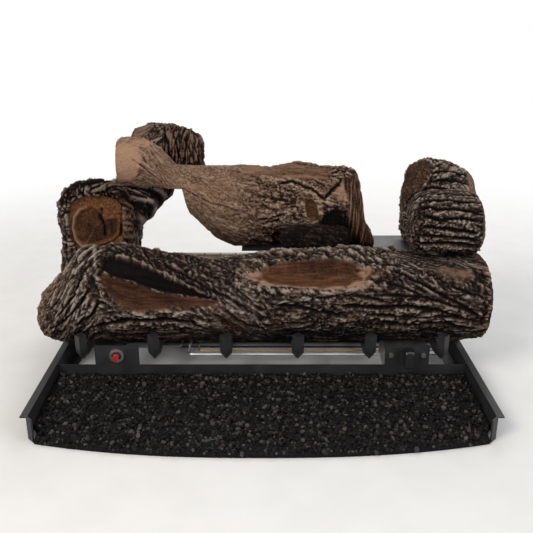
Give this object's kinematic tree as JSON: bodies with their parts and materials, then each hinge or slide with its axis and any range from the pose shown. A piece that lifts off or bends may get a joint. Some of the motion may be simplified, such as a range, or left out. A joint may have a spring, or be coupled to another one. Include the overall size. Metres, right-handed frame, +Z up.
{
  "type": "gas log set",
  "caption": "Gas fire with ceramic logs on a steel grate, twin burners, valve, pilot and a bed of lava rock.",
  "frame": {"origin": "on the floor, under the middle of the cross channel of the base", "axes": "+X to the viewer's right along the front log, +Y to the back, +Z up"},
  "size_m": [0.632, 0.433, 0.3225],
  "materials": {
    "painted_steel": "black heat-resistant paint, matt, on folded steel and square bar",
    "burner_steel": "bare steel tube, dulled and browned by heat",
    "bare_steel": "zinc plated, plain",
    "brass": "turned brass, unpolished",
    "aluminium": "die-cast or drawn, dull",
    "knob_plastic": "black moulded phenolic",
    "button_plastic": "red moulded button",
    "insulator": "white glazed insulator",
    "lead_sleeve": "silicone sleeve on the spark lead",
    "bark_ceramic": "cast refractory ceramic with rough oak bark, grey-tan ridges over near-black furrows",
    "wood_ceramic": "cast refractory ceramic with split wood grain, brown to charred black",
    "lava_rock": "loose black lava gravel, 4 to 7 mm stones"
  },
  "bodies": {
    "base": {"left_side_rail": "painted_steel", "right_side_rail": "painted_steel", "front_panel": "painted_steel", "rear_panel": "painted_steel", "cross_channel": "painted_steel", "grate_cross_front": "painted_steel", "grate_cross_rear": "painted_steel", "grate_bar_1": "painted_steel", "grate_bar_2": "painted_steel", "grate_bar_3": "painted_steel", "grate_bar_4": "painted_steel", "grate_bar_5": "painted_steel", "grate_bar_6": "painted_steel", "burner_bracket_left": "painted_steel", "burner_bracket_right": "painted_steel", "jet_plate": "painted_steel", "regulator_plate": "painted_steel", "pilot_bracket": "painted_steel", "rear_shelf": "painted_steel", "shelf_leg_left": "painted_steel", "shelf_leg_right": "painted_steel", "front_burner": "burner_steel", "rear_burner": "burner_steel", "crossover_tube": "burner_steel", "air_mixer": "burner_steel", "pilot_burner": "burner_steel", "flame_sensor": "burner_steel", "inlet_pipe": "bare_steel", "igniter_nut": "bare_steel", "valve_screw_left": "bare_steel", "valve_screw_right": "bare_steel", "gas_jet": "brass", "inlet_fitting": "brass", "sensor_lead": "brass", "gas_valve": "aluminium", "regulator": "aluminium", "supply_tube": "aluminium", "burner_tube": "aluminium", "pilot_line": "aluminium", "igniter_barrel": "knob_plastic", "spark_electrode": "insulator", "igniter_lead": "lead_sleeve", "lava_rock_bed": "lava_rock"},
    "push_body": {"push_collar": "bare_steel"},
    "knob_body": {"valve_stem": "bare_steel", "control_knob": "knob_plastic"},
    "button_body": {"igniter_button": "button_plastic"},
    "front_log_body": {"front_log": "bark_ceramic"},
    "right_log_body": {"right_log": "bark_ceramic"},
    "left_log_body": {"left_log": "bark_ceramic"},
    "middle_log_body": {"middle_log": "wood_ceramic", "branch_stub": "wood_ceramic"},
    "upper_left_body": {"upper_left_log": "bark_ceramic"},
    "upper_right_body": {"upper_right_log": "bark_ceramic"}
  },
  "joints": [
    {"name": "knob_push", "type": "slide", "parent": "base", "child": "push_body", "axis": [0, 1, 0], "range_m": [0, 0.004], "stiffness_N_per_m": 800, "springref_m": -0.002},
    {"name": "knob_turn", "type": "hinge", "parent": "push_body", "child": "knob_body", "pos_m": [0.197, -0.125, 0.042], "axis": [0, -1, 0], "range_deg": [0, 210]},
    {"name": "igniter_push", "type": "slide", "parent": "base", "child": "button_body", "axis": [0, 1, 0], "range_m": [0, 0.006], "stiffness_N_per_m": 500, "springref_m": -0.002},
    {"name": "front_log_lift", "type": "slide", "parent": "base", "child": "front_log_body", "axis": [0, 0, 1], "range_m": [0, 0.1]},
    {"name": "right_log_lift", "type": "slide", "parent": "front_log_body", "child": "right_log_body", "axis": [0, 0, 1], "range_m": [0, 0.1]},
    {"name": "left_log_lift", "type": "slide", "parent": "base", "child": "left_log_body", "axis": [0, 0, 1], "range_m": [0, 0.1]},
    {"name": "middle_log_lift", "type": "slide", "parent": "left_log_body", "child": "middle_log_body", "axis": [0, 0, 1], "range_m": [0, 0.1]},
    {"name": "upper_left_lift", "type": "slide", "parent": "left_log_body", "child": "upper_left_body", "axis": [0, 0, 1], "range_m": [0, 0.1]},
    {"name": "upper_right_lift", "type": "slide", "parent": "base", "child": "upper_right_body", "axis": [0, 0, 1], "range_m": [0, 0.1]}
  ]
}
